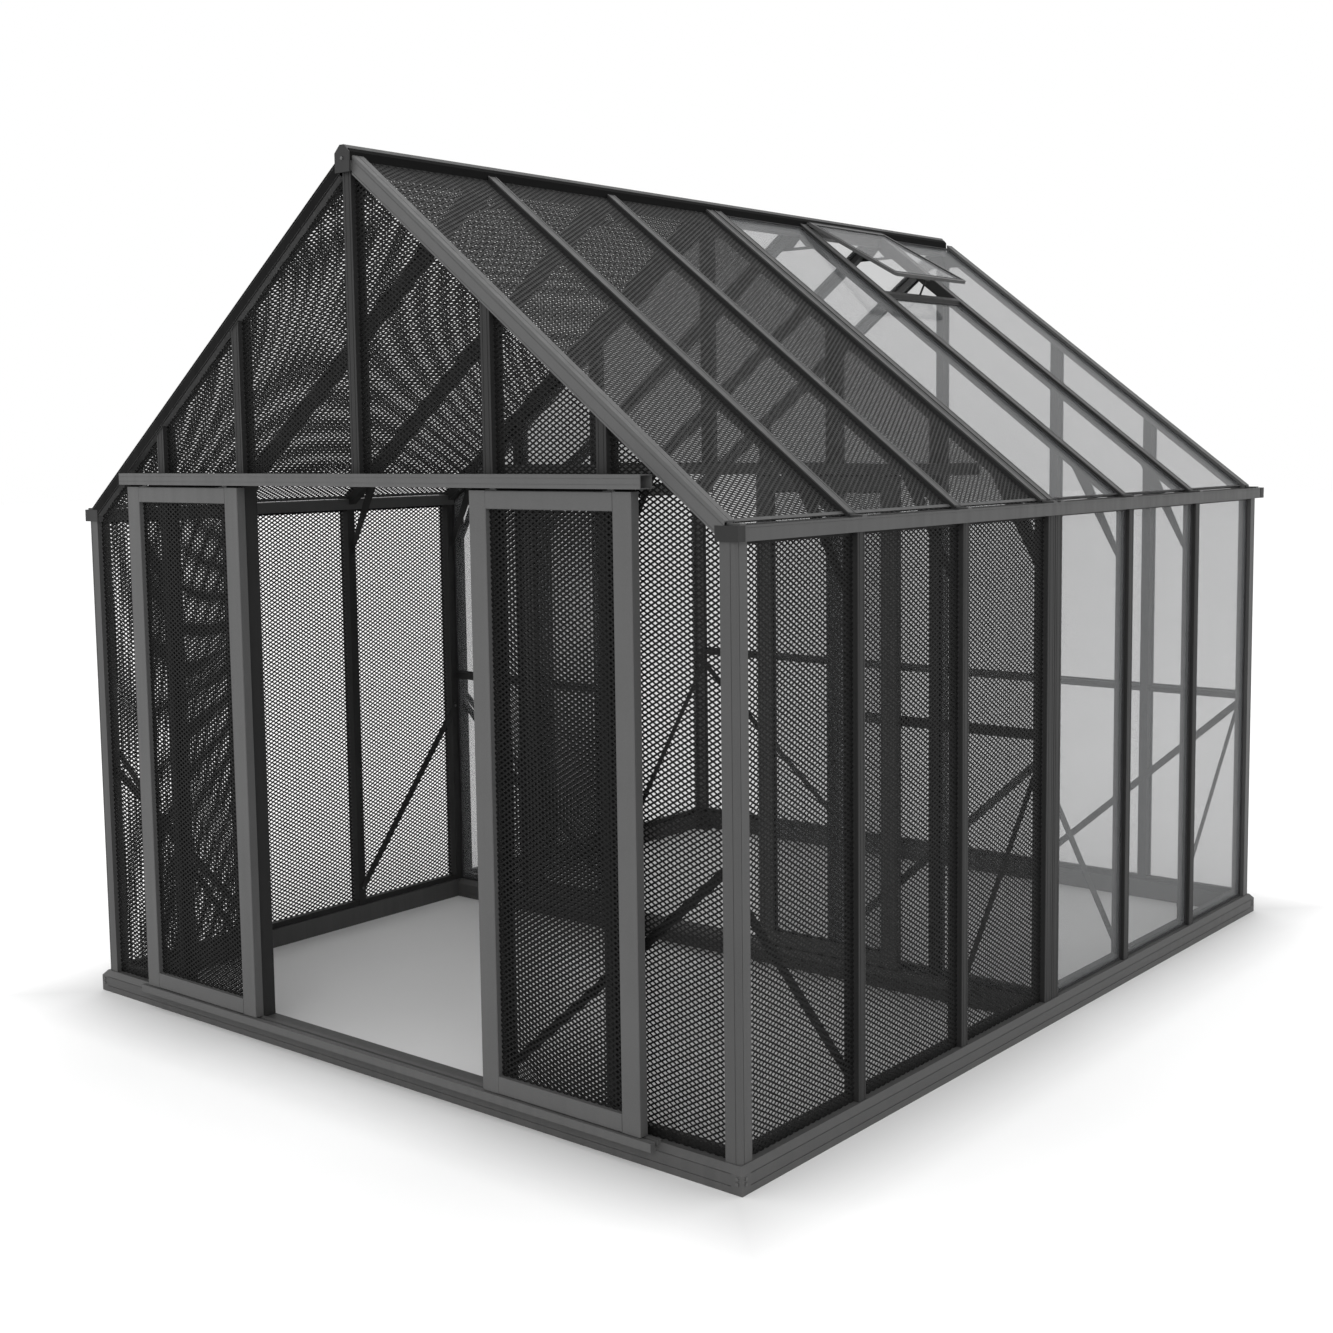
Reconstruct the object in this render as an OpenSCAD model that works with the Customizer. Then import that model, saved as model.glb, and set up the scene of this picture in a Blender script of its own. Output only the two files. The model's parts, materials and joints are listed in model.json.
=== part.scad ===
/* [Overall] */
// Width over the outer faces of the corner posts
frame_w = 3140; // [3100:10:3200]
// Pitch of the wall studs and rafters along the length
bay_pitch = 630; // [610:5:650]
// Number of bays, half of them meshed and half glazed
bays = 6; // [6:1:6]
// Height of the underside of the gutters
eave_h = 1858; // [1850:1:1870]
// Height where the two roof slopes would meet
peak_h = 3095; // [3080:1:3105]
// Slope of the roof in degrees
roof_angle = 37.5; // [37:0.1:38]

/* [Base] */
// Height of the base rails
base_h = 80; // [78:1:82]
// Width of the base rails
base_w = 80; // [76:1:84]
// How far the base stands out past the posts
base_out = 20; // [16:1:22]
// Size of the anchor ears at the inner corners
ear_size = 70; // [60:1:80]
// Thickness of the anchor ears
ear_t = 6; // [5:1:8]
// Radius of the anchor holes
anchor_r = 5.5; // [4:0.5:6.5]

/* [Wall members] */
// Side of a corner post, and the depth of every wall
post_w = 55; // [54:1:58]
// Face width of a stud
stud_w = 40; // [36:1:42]
// Wall thickness of the aluminium tubes
tube_t = 2.5; // [2:0.5:3]
// Radius of a corner post's outer edge
post_r = 14; // [8:1:16]
// Width of each half of the double middle posts
mid_half_w = 52; // [48:1:54]
// Joint between the two halves
mid_gap = 2; // [1:0.5:3]
// Height of the small sill bars under the panels
sill_h = 24; // [20:1:28]
// Height of a cross rail
rail_face = 40; // [36:1:42]
// Middle of the back wall's cross rail
back_rail_h = 983; // [960:1:1000]
// Middle of the partition's cross rail
inner_rail_h = 1058; // [1040:1:1070]

/* [Roof members] */
// Depth of an intermediate rafter below its cap
rafter_d = 45; // [42:1:48]
// Thickness of a glazing cap
cap_t = 4; // [3:0.5:5]
// Width of a glazing cap
cap_w = 40; // [24:1:40]
// Width of the raised rim along each side of a glazing cap
cap_rim = 7; // [4:1:9]
// Depth of a glazing cap's channel below its rims
cap_groove = 1.2; // [0.8:0.2:2]
// Face width and depth of a gable rafter
gable_rafter_w = 50; // [48:1:54]
// How far a gable rafter stands proud of the gable
gable_proud = 5; // [4:1:6]
// Half width of the ridge beam
ridge_half = 32; // [30:1:34]
// Underside of the ridge beam below the peak
ridge_drop = 75; // [70:1:80]
// Top of the ridge beam above the peak
ridge_rise = 9; // [6:1:10]
// Front overhang of the ridge beam
ridge_out = 14; // [12:1:16]
// Gap from the ridge beam to the back gable rafter
ridge_gap = 7; // [5:1:10]

/* [Gutters] */
// Height of a gutter
gutter_h = 45; // [42:1:48]
// Overall width of a gutter with its eave beam
gutter_w = 80; // [78:1:82]
// How far a gutter stands out past the posts
gutter_out = 13; // [10:1:15]
// Width of the closed eave beam at the inner side
eave_beam_w = 33; // [32:1:34]
// Back overhang of a gutter
gutter_back = 54; // [50:1:54]
// Front overhang of a gutter, covered by its end cap
gutter_front = 6; // [4:1:8]
// How far an end cap's skirt reaches along the gutter's outer face
cap_skirt = 35; // [30:1:40]
// Width of the clips at the rafter feet
clip_w = 26; // [20:1:30]

/* [Panels] */
// Thickness of a mesh panel
mesh_t = 1.5; // [1:0.5:2]
// Thickness of the glass
glass_t = 4; // [3:0.5:5]
// Depth of a wall panel behind the outer face
panel_set = 18; // [16:1:22]
// Depth of a roof panel below the roof line
roof_set = 14; // [12:1:16]

/* [Gables] */
// Centre of the door jambs from the middle
jamb_x = 617; // [610:1:620]
// Centre of the outer gable studs from the middle
outer_stud_x = 1084; // [1070:1:1090]

/* [Doors] */
// Width of a door leaf
leaf_w = 659; // [650:1:665]
// Thickness of a door leaf
leaf_t = 34; // [32:1:36]
// Bottom of a door leaf
leaf_z0 = 91; // [90:1:92]
// Top of a door leaf
leaf_z1 = 1994; // [1990:1:1996]
// Gap from the wall face to the back of a leaf
leaf_gap = 6; // [5:1:7]
// Width of a door stile
stile_w = 72; // [66:1:76]
// Height of a door's top and bottom rails
door_rail_h = 56; // [50:1:60]
// Inner edge of the front left leaf from the middle, at rest
front_left_edge = 587; // [560:1:600]
// Inner edge of the front right leaf from the middle, at rest
front_right_edge = 570; // [560:1:600]
// Inner edge of the inner left leaf from the middle, at rest
inner_left_edge = 365; // [350:1:380]
// Inner edge of the inner right leaf from the middle, at rest
inner_right_edge = 286; // [270:1:300]

/* [Door tracks] */
// Half length of a header track
track_half = 1276; // [1276:1:1280]
// Underside of a header track
track_z0 = 2002; // [2000:1:2003]
// Height of a header track
track_h = 42; // [40:1:44]
// Depth of a header track in front of the wall
track_d = 54; // [54:1:54]
// Width of the slot that the hangers pass through
slot_w = 12; // [11:0.5:13]
// Radius of a roller
roller_r = 13.7; // [13:0.1:14]
// Thickness of a roller
roller_t = 8; // [6:1:8]
// Radius of a roller axle
axle_r = 4; // [3:0.5:5]
// Hanger centre from the leaf's edge
hanger_in = 90; // [80:1:100]
// Top of the bottom tracks
low_track_z = 88; // [87:1:88]

/* [Roof vent] */
// Rest opening of the vent above the roof slope
vent_open = 8.5; // [5:0.5:12]
// Length of the vent from its hinge axis
vent_len = 512; // [505:1:515]
// Hinge axis from the middle of the house
vent_axis_x = 44; // [43:0.5:46]
// Hinge axis height
vent_axis_z = 3070; // [3068:1:3072]
// Width of the vent's edge bars
vent_bar = 14; // [12:1:20]
// Thickness of the vent sash
vent_t = 14; // [12:1:16]
// Radius of the vent sash's lower corners
vent_corner_r = 18; // [14:1:20]
// Inner edge of the vent's sill bar from the middle
vent_sill_x = 440; // [436:1:444]
// Width of the vent's sill bar
vent_sill_w = 16; // [14:1:30]
// Length of the stay rod
stay_len = 106; // [95:1:110]
// Lean of the stay rod's lower part towards the inside in degrees
stay_lean = 25.3; // [20:0.1:30]
// Radius of the stay rod
stay_rod_r = 4.5; // [3.5:0.5:5]

/* [Fasteners] */
// Radius of a bolt head
head_r = 6; // [5:0.5:8]
// Height of a bolt head
head_h = 3; // [2:0.5:4]
// Radius of a bolt shank
shank_r = 3; // [2.5:0.5:3.5]

/* [Hidden] */
$fn = 48;
eps = 1;
half_w = frame_w / 2;
half_l = bays * bay_pitch / 2;
mid_bay = bays / 2;
slope = tan(roof_angle);
v = 1 / cos(roof_angle);
gutter_x1 = half_w + gutter_out;
gutter_x0 = gutter_x1 - gutter_w;
gutter_z1 = eave_h + gutter_h;
beam_x1 = gutter_x0 + eave_beam_w;
ridge_z0 = peak_h - ridge_drop;
ridge_y0 = -half_l - ridge_out;
ridge_y1 = half_l - gable_rafter_w + gable_proud - ridge_gap;
mid_half = mid_half_w + mid_gap / 2;
inner_shift = half_l - post_w / 2;
track_skin = 3;
header_z1 = track_z0 + rail_face;
leaf_y1 = -half_l - leaf_gap;
leaf_y0 = leaf_y1 - leaf_t;
leaf_y = (leaf_y0 + leaf_y1) / 2;
axle_z = track_z0 + track_skin + 14;
post_x0 = half_w - post_w;
base_x1 = half_w + base_out;
base_x0 = base_x1 - base_w;
base_y0 = -half_l - base_out;
panel_x = half_w - panel_set;
cap_l = 4;
skirt_t = 1.5;
clip_t = 6;
clip_up = 12;
clip_foot = 3;
ridge_cap_t = 4;
ridge_rim = 4;
ridge_shoulder = peak_h - 16;
ridge_crown = 10;
ridge_top = peak_h + ridge_rise;
cross_rail_h = 25;
brace_t = 4;
brace_w = 30;
brace_foot_z = 158;
brace_inset = 18;
gable_brace_z = 950;
plate_t = 4;
groove_w = 3;
groove_d = 2;
groove_low = 0.27 * base_h;
groove_high = 0.72 * base_h;
base_bevel = 16;
gable_brace_x = post_x0 + brace_t + 8;
vent_bay = bays - 2;
frame_grey = [0.25, 0.26, 0.27];
door_grey = [0.36, 0.37, 0.38];
stud_grey = [0.18, 0.19, 0.20];
mesh_grey = [0.10, 0.10, 0.11];
glass_tint = [0.80, 0.85, 0.87, 0.35];
steel = [0.30, 0.31, 0.32];
nylon = [0.85, 0.85, 0.82];
rubber = [0.08, 0.08, 0.08];

// ---- Helpers -------------------------------------------------------------

// Height of the roof line, lowered by a distance measured square to the slope
function roof_z(x, drop = 0) = peak_h - slope * abs(x) - drop * v;

// Centre line of the stud or rafter number i, counted from the front
function line_y(i) = -half_l + i * bay_pitch;

// Half width of the member that stands on line i
function line_half(i) = i == mid_bay ? mid_half : stud_w / 2;

// Clear edges of wall bay i between its studs
function wall_lo(i) = i == 0 ? -half_l + post_w : line_y(i) + line_half(i);
function wall_hi(i) = i == bays - 1 ? half_l - post_w : line_y(i + 1) - line_half(i + 1);

// Clear edges of roof bay i between its rafters
function roof_lo(i) = i == 0 ? -half_l - gable_proud + gable_rafter_w : wall_lo(i);
function roof_hi(i) = i == bays - 1 ? half_l + gable_proud - gable_rafter_w : wall_hi(i);

// Draws an outline of X and Z as a slab from y0 to y1
module in_xz(y0, y1) {
    translate([0, y1, 0])
    rotate([90, 0, 0])
    linear_extrude(y1 - y0)
    children();
}

// Draws an outline of Y and Z as a slab from x0 to x1
module in_yz(x0, x1) {
    translate([x0, 0, 0])
    rotate([90, 0, 90])
    linear_extrude(x1 - x0)
    children();
}

// A box from one corner to the other
module block(lo, hi) {
    translate(lo)
    cube(hi - lo);
}

// The same shape on the left and on the right
module both_sides() {
    children();
    mirror([1, 0, 0]) children();
}

// The same shape at the front and at the back
module both_ends() {
    children();
    mirror([0, 1, 0]) children();
}

// Outline of a bar that follows the right roof slope
module slope_outline(x0, x1, drop, depth) {
    polygon([
        [x0, roof_z(x0, drop)],
        [x0, roof_z(x0, drop + depth)],
        [x1, roof_z(x1, drop + depth)],
        [x1, roof_z(x1, drop)]
    ]);
}

// A hollow bar along the right roof slope
module slope_tube(x0, x1, drop, depth, y0, y1) {
    difference() {
        in_xz(y0, y1) slope_outline(x0, x1, drop, depth);
        in_xz(y0 + tube_t, y1 - tube_t)
            slope_outline(x0 - eps, x1 + eps, drop + tube_t, depth - 2 * tube_t);
    }
}

// Space taken by the ridge beam, and by the gutters from z0 up to their tops
module roof_keepout(z0 = eave_h) {
    both_sides()
        block([gutter_x0, -2 * half_l, z0], [gutter_x1 + eps, 2 * half_l, gutter_z1]);
    block([-ridge_half, ridge_y0, ridge_z0], [ridge_half, ridge_y1, peak_h + 2 * ridge_rise]);
}

// Everything under the roof line lowered by drop
module under_roof(drop, y0, y1) {
    in_xz(y0, y1)
    polygon([
        [-half_w, 0], [half_w, 0], [half_w, roof_z(half_w, drop)],
        [0, roof_z(0, drop)], [-half_w, roof_z(half_w, drop)]
    ]);
}

// A flat bar between two points of its plane, with round ends
module flat_bar(p, q, w) {
    d = q - p;
    translate(p)
    rotate(atan2(d[1], d[0])) {
        translate([0, -w / 2]) square([norm(d), w]);
        circle(w / 2);
        translate([norm(d), 0]) circle(w / 2);
    }
}

// A bolt whose head stands on z = 0, with its shank below
module bolt(shank) {
    cylinder(r = head_r, h = head_h, $fn = 6);
    translate([0, 0, -shank]) cylinder(r = shank_r, h = shank);
}

// ---- Base ----------------------------------------------------------------

// Outline of a base rail: u runs inwards from the outer face
module base_outline(grooves = true) {
    difference() {
        polygon([
            [0, 0], [base_w, 0], [base_w, base_h], [base_bevel, base_h],
            [0, groove_high + groove_w]
        ]);
        if (grooves)
            for (z = [groove_low, groove_high])
                translate([-eps, z]) square([groove_d + eps, groove_w]);
    }
}

// Hollow of a base rail
module base_hollow() {
    polygon([
        [2 * tube_t, tube_t], [base_w - tube_t, tube_t],
        [base_w - tube_t, base_h - tube_t], [18, base_h - tube_t],
        [2 * tube_t, groove_high]
    ]);
}

module base_rail_front() {
    in_yz(-base_x0, base_x0)
    translate([base_y0, 0])
    difference() {
        base_outline();
        base_hollow();
    }
}

module base_front() {
    color(frame_grey) base_rail_front();
}

module base_back() {
    color(frame_grey)
    mirror([0, 1, 0])
    base_rail_front();
}

module base_sides() {
    color(frame_grey)
    both_sides()
    in_xz(-half_l + base_w - base_out, half_l - base_w + base_out)
    translate([base_x1, 0])
    mirror([1, 0])
    difference() {
        base_outline();
        base_hollow();
    }
}

// One solid corner block, at the front right, with grooves that stop short of its edge
module base_corner() {
    groove_from = 40;
    difference() {
        intersection() {
            in_yz(base_x0, base_x1) translate([base_y0, 0]) base_outline(false);
            in_xz(base_y0, base_y0 + base_w)
                translate([base_x1, 0]) mirror([1, 0]) base_outline(false);
        }
        for (z = [groove_low, groove_high]) {
            block([base_x0 - eps, base_y0 - eps, z],
                [base_x1 - groove_from, base_y0 + groove_d, z + groove_w]);
            block([base_x1 - groove_d, base_y0 + groove_from, z],
                [base_x1 + eps, base_y0 + base_w + eps, z + groove_w]);
        }
        corner_bolts(hole = true);
    }
}

// The ear inside the corner that takes the ground anchor
module anchor_ear() {
    difference() {
        block([base_x0 - ear_size, base_y0 + base_w, 0], [base_x0, base_y0 + base_w + ear_size, ear_t]);
        translate([base_x0 - ear_size / 2, base_y0 + base_w + ear_size / 2, -eps])
            cylinder(r = anchor_r, h = ear_t + 2 * eps);
    }
}

module base_corners() {
    color(frame_grey)
    both_sides()
    both_ends() {
        base_corner();
        anchor_ear();
    }
}

module base_partition() {
    y0 = base_y0 + inner_shift;
    color(frame_grey)
    in_yz(-base_x0, base_x0)
    translate([y0, 0])
    difference() {
        base_outline();
        base_hollow();
    }
}

// ---- Posts and studs -----------------------------------------------------

// Square with one rounded corner, at its far end
module one_round_square(s, r) {
    square([s, s - r]);
    square([s - r, s]);
    translate([s - r, s - r]) circle(r);
}

// Tube outline of a corner post, its outer corner at the far end
module post_outline() {
    groove_at = 18;
    line_w = 2.5;
    line_d = 1.2;
    difference() {
        one_round_square(post_w, post_r);
        translate([tube_t, tube_t]) one_round_square(post_w - 2 * tube_t, post_r - tube_t);
        translate([post_w - groove_at, post_w - line_d]) square([line_w, 2 * line_d]);
        translate([post_w - line_d, post_w - groove_at]) square([2 * line_d, line_w]);
    }
}

module corner_posts() {
    color(frame_grey)
    both_sides()
    both_ends()
    translate([post_x0, half_l - post_w, base_h])
    linear_extrude(eave_h - base_h)
    post_outline();
}

// Tube outline of a stud: w across its face, the outer face at x = half_w
module stud_outline(w) {
    chamfer = 2;
    line_w = 2;
    line_d = 1.2;
    difference() {
        polygon([
            [post_x0, -w / 2], [half_w - chamfer, -w / 2], [half_w, -w / 2 + chamfer],
            [half_w, w / 2 - chamfer], [half_w - chamfer, w / 2], [post_x0, w / 2]
        ]);
        translate([post_x0 + tube_t, -w / 2 + tube_t]) square([post_w - 2 * tube_t, w - 2 * tube_t]);
        for (s = [-1, 1])
            translate([half_w - line_d, s * w / 4 - line_w / 2]) square([2 * line_d, line_w]);
    }
}

module mid_posts() {
    color(stud_grey)
    both_sides()
    for (s = [-1, 1])
        translate([0, s * (mid_gap + mid_half_w) / 2, base_h])
        linear_extrude(eave_h - base_h)
        stud_outline(mid_half_w);
}

module side_studs() {
    color(stud_grey)
    both_sides()
    for (i = [1 : bays - 1])
        if (i != mid_bay)
            translate([0, line_y(i), base_h])
            linear_extrude(eave_h - base_h)
            stud_outline(stud_w);
}

// Small bars on the base, behind the foot of each wall panel
module panel_sills() {
    color(stud_grey) {
        both_sides()
        for (i = [0 : bays - 1])
            block([post_x0 + 4, wall_lo(i), base_h], [panel_x - 6, wall_hi(i), base_h + sill_h]);
        for (p = [[-half_l, 1], [half_l, -1], [-post_w / 2, 1]])
            for (x = gable_spans(p[0] < half_l))
                sill_bar(x, p[0] + p[1] * (panel_set + 6), p[0] + p[1] * (post_w - 4));
    }
}

// Clear spans between the members of a gable wall, with or without a doorway
function gable_spans(doorway) = concat(
    doorway ? [] : [[-jamb_x + stud_w / 2, -stud_w / 2], [stud_w / 2, jamb_x - stud_w / 2]],
    [
        [-post_x0, -outer_stud_x - stud_w / 2],
        [-outer_stud_x + stud_w / 2, -jamb_x - stud_w / 2],
        [jamb_x + stud_w / 2, outer_stud_x - stud_w / 2],
        [outer_stud_x + stud_w / 2, post_x0]
    ]
);

module sill_bar(x, ya, yb) {
    block([x[0], min(ya, yb), base_h], [x[1], max(ya, yb), base_h + sill_h]);
}

// ---- Gutters -------------------------------------------------------------

module gutter_right() {
    lip = 4;
    color(frame_grey)
    in_xz(-half_l - gutter_front + cap_l, half_l + gutter_back - cap_l)
    difference() {
        translate([gutter_x0, eave_h]) square([gutter_w, gutter_h]);
        translate([gutter_x0 + tube_t, eave_h + tube_t])
            square([eave_beam_w - 2 * tube_t, gutter_h - 2 * tube_t]);
        translate([beam_x1, eave_h + tube_t]) square([gutter_x1 - beam_x1 - tube_t, gutter_h]);
        translate([gutter_x1 - 1, gutter_z1 - 2 * lip]) square([2, 1.6]);
    }
}

module gutter_left() {
    mirror([1, 0, 0]) gutter_right();
}

// A gutter's end plate at y, with a skirt down the outer face; inward is 1 or -1
module gutter_cap(y, inward) {
    y_plate = y + inward * cap_l;
    y_skirt = y + inward * cap_skirt;
    block([gutter_x0, min(y, y_plate), eave_h], [gutter_x1, max(y, y_plate), gutter_z1]);
    block([gutter_x1, min(y, y_skirt), eave_h], [gutter_x1 + skirt_t, max(y, y_skirt), gutter_z1]);
}

// End caps of both gutters and of the ridge's front end
module end_caps() {
    color(stud_grey) {
        both_sides() {
            gutter_cap(-half_l - gutter_front, 1);
            gutter_cap(half_l + gutter_back, -1);
        }
        difference() {
            in_xz(ridge_y0 - ridge_cap_t, ridge_y0)
            ridge_outline(ridge_half + ridge_rim, ridge_z0 - ridge_rim);
            ridge_bolt(hole = true);
        }
    }
}

// ---- Roof frame ----------------------------------------------------------

// Outline of the ridge, less a wall of t at the top and the shoulders
module ridge_outline(half, z0, t = 0) {
    narrow = t > 0 ? 1 : 0;
    polygon([
        [-half, z0], [half, z0], [half, ridge_shoulder - t],
        [ridge_crown - narrow, ridge_top - t], [narrow - ridge_crown, ridge_top - t],
        [-half, ridge_shoulder - t]
    ]);
}

module ridge_beam() {
    color(frame_grey)
    in_xz(ridge_y0, ridge_y1)
    difference() {
        ridge_outline(ridge_half, ridge_z0);
        ridge_outline(ridge_half - tube_t, ridge_z0 + tube_t, tube_t);
    }
}

// Tube outline of a gable rafter in Y and height above the slope, its face at y = 0
module gable_rafter_outline() {
    soft = 4;
    line_w = 2;
    line_d = 1.2;
    w = gable_rafter_w;
    difference() {
        polygon([[0, -w], [w, -w], [w, 0], [soft, 0], [0, -soft]]);
        translate([tube_t + 1, tube_t - w]) square([w - 2 * tube_t - 1, w - 2 * tube_t - 1]);
        for (h = [-w + 6, -12])
            translate([-eps, h]) square([eps + line_d, line_w]);
        translate([w / 2, -line_d]) square([line_w, 2 * line_d]);
    }
}

// One gable rafter from x0 out to the gutter's trough
module gable_rafter(x0, y0) {
    far = 3 * half_w;
    difference() {
        translate([0, y0, peak_h])
            rotate([0, roof_angle, 0])
            in_yz(-2 * gable_rafter_w, far)
            gable_rafter_outline();
        block([-far, y0 - eps, 0], [x0, y0 + gable_rafter_w + eps, 2 * peak_h]);
        block([beam_x1, y0 - eps, -far], [far, y0 + gable_rafter_w + eps, 2 * peak_h]);
        roof_keepout(0);
    }
}

module gable_rafters() {
    front_y = -half_l - gable_proud;
    color(frame_grey)
    both_sides() {
        gable_rafter(ridge_half, front_y);
        mirror([0, 1, 0]) gable_rafter(0, front_y);
    }
}

module mid_rafters() {
    color(stud_grey)
    both_sides()
    difference() {
        for (i = [1 : bays - 1])
            if (i == mid_bay)
                for (s = [-1, 1])
                    slope_tube(ridge_half, beam_x1, cap_t, rafter_d,
                        s * (mid_gap + mid_half_w) / 2 - mid_half_w / 2,
                        s * (mid_gap + mid_half_w) / 2 + mid_half_w / 2);
            else
                slope_tube(ridge_half, beam_x1, cap_t, rafter_d,
                    line_y(i) - stud_w / 2, line_y(i) + stud_w / 2);
        roof_keepout(0);
    }
}

// Middles of the intermediate rafters and their caps, the double ones in the middle
rafter_ys = [
    for (i = [1 : bays - 1])
        each i == mid_bay
            ? [-(mid_gap + mid_half_w) / 2, (mid_gap + mid_half_w) / 2]
            : [line_y(i)]
];

// Caps that hold the panels down along each rafter, with a shallow channel along the top
module rafter_caps() {
    channel_half = cap_w / 2 - cap_rim;
    color(door_grey)
    both_sides()
    difference() {
        for (y = rafter_ys)
            in_xz(y - cap_w / 2, y + cap_w / 2)
            slope_outline(ridge_half, beam_x1, 0, cap_t);
        for (y = rafter_ys)
            in_xz(y - channel_half, y + channel_half)
            slope_outline(ridge_half - eps, beam_x1 + eps, -eps, eps + cap_groove);
        roof_keepout(0);
    }
}

// Clips from each rafter's foot across the trough to the gutter's outer lip
module rafter_clips() {
    gable_y = half_l + gable_proud - gable_rafter_w / 2;
    color(door_grey)
    both_sides()
    for (y = concat([-gable_y, gable_y], rafter_ys)) {
        block([beam_x1, y - clip_w / 2, gutter_z1], [gutter_x1, y + clip_w / 2, gutter_z1 + clip_t]);
        block([beam_x1, y - clip_w / 2, gutter_z1],
            [beam_x1 + clip_foot, y + clip_w / 2, gutter_z1 + clip_up]);
    }
}

// ---- Gable frames --------------------------------------------------------

// An upright of a gable wall whose outer face is at y = 0 and looks to -Y
module gable_stud(x, z0) {
    translate([x, 0, z0])
    linear_extrude(peak_h - z0)
    difference() {
        translate([-stud_w / 2, 0]) square([stud_w, post_w]);
        translate([-stud_w / 2 + tube_t, tube_t]) square([stud_w - 2 * tube_t, post_w - 2 * tube_t]);
        for (s = [-1, 1])
            translate([s * stud_w / 4 - 1, -eps]) square([2, eps + 1.2]);
    }
}

// All uprights of a gable wall, cut under rafters of the given depth
module gable_studs(drop, centre_z0) {
    intersection() {
        union() {
            gable_stud(0, centre_z0);
            both_sides() {
                gable_stud(jamb_x, base_h);
                gable_stud(outer_stud_x, base_h);
            }
        }
        under_roof(drop, 0, post_w);
    }
}

module gable_studs_front() {
    color(stud_grey)
    difference() {
        translate([0, -half_l, 0]) gable_studs(gable_rafter_w, header_z1);
        roof_keepout();
    }
}

module gable_studs_inner() {
    color(stud_grey)
    difference() {
        translate([0, -post_w / 2, 0]) gable_studs(cap_t + rafter_d, header_z1);
        roof_keepout();
    }
}

module gable_studs_back() {
    color(stud_grey)
    difference() {
        mirror([0, 1, 0]) translate([0, -half_l, 0]) gable_studs(gable_rafter_w, base_h);
        roof_keepout();
    }
}

// Headers over the doorways, and the cross rails of the glazed gable walls
module cross_rails() {
    header = jamb_x - stud_w / 2;
    inset = 6;
    h = cross_rail_h / 2;
    color(stud_grey) {
        for (y = [-half_l, -post_w / 2])
            block([-header, y, track_z0], [header, y + post_w, header_z1]);
        for (x = gable_spans(true))
            block([x[0], inset - post_w / 2, inner_rail_h - h], [x[1], post_w / 2 - inset, inner_rail_h + h]);
        for (x = gable_spans(false))
            block([x[0], half_l - post_w + inset, back_rail_h - h], [x[1], half_l - inset, back_rail_h + h]);
    }
}

// ---- Door tracks ---------------------------------------------------------

// Outline of a header track in Y and Z, in front of a wall face at y = 0
module header_track_outline() {
    slot_y = leaf_y + half_l;
    difference() {
        translate([-track_d, track_z0]) square([track_d, track_h]);
        translate([track_skin - track_d, track_z0 + track_skin])
            square([track_d - 2 * track_skin, track_h - 2 * track_skin]);
        translate([slot_y - slot_w / 2, track_z0 - eps]) square([slot_w, 2 * track_skin]);
        for (z = [12, 30])
            translate([-track_d - eps, track_z0 + z]) square([eps + 0.8, 1.5]);
    }
}

module header_track(y) {
    color(door_grey)
    in_yz(-track_half, track_half)
    translate([y, 0])
    header_track_outline();
}

module header_track_front() {
    header_track(-half_l);
}

module header_track_inner() {
    header_track(-post_w / 2);
}

// Guide channel that hooks over the outer edge of a base rail
module bottom_track(y) {
    slot_y = leaf_y + half_l;
    nose = 50;
    slot_z = 70;
    bevel_z = groove_high + groove_w;
    in_yz(-track_half, track_half)
    translate([y, 0])
    difference() {
        polygon([
            [-nose, bevel_z], [-base_out, bevel_z],
            [base_bevel - base_out, base_h], [0, base_h], [0, low_track_z], [-nose, low_track_z]
        ]);
        translate([slot_y - slot_w / 2, slot_z]) square([slot_w, low_track_z]);
    }
}

module bottom_tracks() {
    color(door_grey) {
        bottom_track(-half_l);
        bottom_track(-post_w / 2);
    }
}

// Rubber buffers in the header tracks, one at the end of each leaf's travel
module door_stops() {
    stop_x = track_half - 12 - hanger_in + roller_r + 0.5;
    stop_l = 20;
    stop_h = 21;
    z0 = track_z0 + track_skin;
    color(rubber)
    for (y = [leaf_y, leaf_y + inner_shift])
        both_sides()
        block([stop_x, y - 12, z0], [stop_x + stop_l, y + 12, z0 + stop_h]);
}

// ---- Braces and plates ---------------------------------------------------

// Wide-topped knee plates from the side studs up to the rafters
module knee_braces() {
    foot = 1655;
    foot_w = 45;
    arm_in = 1310;
    arm_out = 1395;
    plate = 6;
    drop = cap_t + rafter_d;
    color(stud_grey)
    both_sides()
    for (i = [1 : bays - 1])
        for (y = i == mid_bay ? [-mid_half_w / 2, mid_half_w / 2] : [line_y(i)])
            in_xz(y - plate / 2, y + plate / 2)
            polygon([
                [post_x0, foot], [post_x0, foot + foot_w],
                [arm_out, roof_z(arm_out, drop)], [arm_in, roof_z(arm_in, drop)]
            ]);
}

// A plate with a triangular window, under the ridge beside a rafter pair
module ridge_gusset(y) {
    reach = 128;
    low = peak_h - 134;
    window = 34;
    frame = 12;
    drop = roof_set + glass_t + 8;
    difference() {
        in_xz(y, y + plate_t)
        difference() {
            polygon([
                [-reach, low], [reach, low], [reach, roof_z(reach, drop)],
                [0, roof_z(0, drop)], [-reach, roof_z(reach, drop)]
            ]);
            polygon([[-window, low + frame], [window, low + frame], [0, low + frame + window]]);
        }
        roof_keepout();
        both_ends()
            block([-stud_w / 2, -half_l, 0], [stud_w / 2, -half_l + post_w, peak_h]);
    }
}

module ridge_gussets() {
    color(stud_grey)
    difference() {
        union() {
            for (i = [1 : bays - 1])
                ridge_gusset(line_y(i) + line_half(i));
            ridge_gusset(roof_lo(0));
            ridge_gusset(roof_hi(bays - 1) - plate_t);
        }
        gusset_bolts(hole = true);
    }
}

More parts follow.
